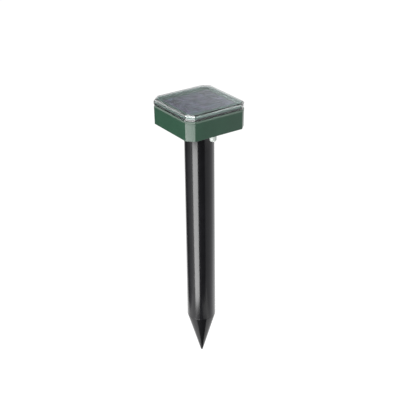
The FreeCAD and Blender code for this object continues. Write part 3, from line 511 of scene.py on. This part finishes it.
def boot():
    """Soft white cap over the switch, domed at its end, given a mesh of its own."""
    bm = bmesh.new()
    centre = ((BOOT_LOW.x + BOOT_HIGH.x) / 2, (BOOT_LOW.y + BOOT_HIGH.y) / 2)
    radius, inner = 4.5 * MM, 3.6 * MM
    flange, flange_height, end = BOOT_HIGH.x, 1.4 * MM, 1.4 * MM
    low, high = BOOT_LOW.z, BOOT_HIGH.z
    outline = [
        (0, low, 0),
        (radius, low, 2.2 * MM),
        (radius, high - flange_height, 0.4 * MM),
        (flange, high - flange_height, 0.4 * MM),
        (flange, high, 0.2 * MM),
        (inner, high, 0.3 * MM),
        (inner, low + end, 1.4 * MM),
        (0, low + end, 0),
    ]
    turned(bm, outline, centre, closed=False, segments=64, steps=8)
    obj = piece("switch_cap", bm, "head", materials["white_silicone"], ["switch_boot"])
    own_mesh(obj)
    return obj


# ---- stage --------------------------------------------------------------------------------------------


def aim(obj, target):
    direction = Vector(target) - obj.location
    obj.rotation_euler = direction.to_track_quat("-Z", "Y").to_euler()


def around(azimuth, distance, height):
    """A place by its bearing round the object; 0 is in front, positive to the right."""
    angle = math.radians(azimuth)
    return Vector((math.sin(angle) * distance, -math.cos(angle) * distance, height))


def camera():
    target, distance = Vector((0, 0, -0.1104)), 1.2706
    azimuth, elevation, roll = (math.radians(angle) for angle in (-34.09, 26.51, -0.733))
    back = Vector((math.sin(azimuth) * math.cos(elevation),
                   -math.cos(azimuth) * math.cos(elevation), math.sin(elevation)))
    data = bpy.data.cameras.new("camera")
    data.lens = 83.73
    data.sensor_width = 36
    obj = bpy.data.objects.new("camera", data)
    bpy.context.scene.collection.objects.link(obj)
    obj.location = target + back * distance
    turn = (-back).to_track_quat("-Z", "Y").to_matrix()
    obj.rotation_euler = (turn @ Matrix.Rotation(roll, 3, "Z")).to_euler()
    bpy.context.scene.camera = obj


def softbox(name, place, target, width, height, radiance):
    """An area light of this brightness per square metre and direction."""
    data = bpy.data.lights.new(name, "AREA")
    data.shape = "RECTANGLE"
    data.size = width
    data.size_y = height
    data.energy = radiance * math.pi * width * height
    obj = bpy.data.objects.new(name, data)
    bpy.context.scene.collection.objects.link(obj)
    obj.location = place
    aim(obj, target)
    obj.visible_camera = False
    return obj


def sheet(name, width, height, mat):
    """A flat rectangle about its own origin that is part of the stage."""
    mesh = bpy.data.meshes.new(name)
    w, h = width / 2, height / 2
    mesh.from_pydata([(-w, -h, 0), (w, -h, 0), (w, h, 0), (-w, h, 0)], [], [(0, 1, 2, 3)])
    mesh.materials.append(mat)
    obj = bpy.data.objects.new(name, mesh)
    bpy.context.scene.collection.objects.link(obj)
    return obj


def flag(name, place, target, width, height, mat):
    """A card beside the view, seen only in reflections, that keeps the floor's light off the object."""
    obj = sheet(name, width, height, mat)
    obj.location = place
    aim(obj, target)
    obj.visible_camera = False
    return obj


def card(name, place, target, width, height, slope, tones):
    """A glowing flag whose tone changes along the slope: tones are (distance, brightness), in order."""
    violet = 1.03
    mat = bpy.data.materials.new(name)
    mat.use_nodes = True
    tree = mat.node_tree
    tree.nodes.clear()
    where = tree.nodes.new("ShaderNodeTexCoord")
    along = tree.nodes.new("ShaderNodeVectorMath")
    along.operation = "DOT_PRODUCT"
    along.inputs[1].default_value = (*slope, 0)
    first, last = tones[0][0], tones[-1][0]
    share = tree.nodes.new("ShaderNodeMapRange")
    share.inputs["From Min"].default_value = first
    share.inputs["From Max"].default_value = last
    shade = tree.nodes.new("ShaderNodeValToRGB")
    points = shade.color_ramp.elements
    while len(points) < len(tones):
        points.new(0.5)
    for point, (distance, tone) in zip(points, tones):
        point.position = (distance - first) / (last - first)
        point.color = (tone, tone, tone * violet, 1)
    glow = tree.nodes.new("ShaderNodeEmission")
    output = tree.nodes.new("ShaderNodeOutputMaterial")
    tree.links.new(where.outputs["Object"], along.inputs[0])
    tree.links.new(along.outputs["Value"], share.inputs["Value"])
    tree.links.new(share.outputs["Result"], shade.inputs["Fac"])
    tree.links.new(shade.outputs["Color"], glow.inputs["Color"])
    tree.links.new(glow.outputs["Emission"], output.inputs["Surface"])
    return flag(name, place, target, width, height, mat)


def studio():
    world = bpy.data.worlds.new("world")
    bpy.context.scene.world = world
    world.use_nodes = True
    background = world.node_tree.nodes["Background"]
    background.inputs["Color"].default_value = (1, 1, 1, 1)
    background.inputs["Strength"].default_value = 0.66
    bpy.context.scene.view_settings.view_transform = "Standard"

    floor_mat = moulded("floor", (0.10, 0.10, 0.10), 0.9, 0.0)
    shader = floor_mat.node_tree.nodes["Principled BSDF"]
    shader.inputs["Emission Color"].default_value = (1, 1, 1, 1)
    shader.inputs["Emission Strength"].default_value = 0.96
    floor = sheet("floor", 24, 24, floor_mat)
    floor.location.z = -0.75

    head = (0, 0, 0.03)
    softbox("key", around(-67, 0.45, -0.40), (0, 0, -0.40), 0.31, 0.60, 7.6)
    softbox("glint", around(-72, 0.34, 0.80), head, 0.2, 0.18, 16.0)
    softbox("lip_glint", around(-56, 0.62, 0.54), head, 0.24, 0.24, 15.0)
    softbox("back_left", around(-151, 0.9, 0.42), head, 0.6, 0.44, 3.0)
    softbox("front_right", around(43, 0.78, 0.62), head, 0.42, 0.46, 4.0)

    dark = moulded("flag", (0.01, 0.01, 0.01), 1.0)
    flag("front_flag", around(-21, 0.45, -0.37), (0, 0, -0.37), 0.45, 0.66, dark)
    flag("low_flag", around(-34, 0.27, -0.72), around(-34, 0.27, 0), 0.5, 0.36, dark)
    card("left_card", around(-138, 0.5, -0.37), (0, 0, -0.37), 0.66, 0.66, (1, 0),
         [(-0.30, 0.05), (-0.05, 0.08), (0.12, 0.40), (0.30, 0.65)])
    card("right_card", around(50, 0.45, -0.42), (0, 0, -0.42), 0.90, 0.62, (1, 0),
         [(-0.45, 0.40), (-0.10, 0.60), (0.15, 1.00), (0.45, 1.60)])
    card("sky_card", around(146, 0.8, 0.331), (0, 0, 0.033), 0.5, 0.3, (-0.6, -0.8),
         [(-0.05, 0.19), (0, 0.31), (0.027, 0.41), (0.037, 0.48), (0.044, 0.64), (0.07, 0.70)])


dress_cad_nodes()
housing()
gasket()
lid()
tray()
tube()
tip()
boot()
spring()
camera()
studio()
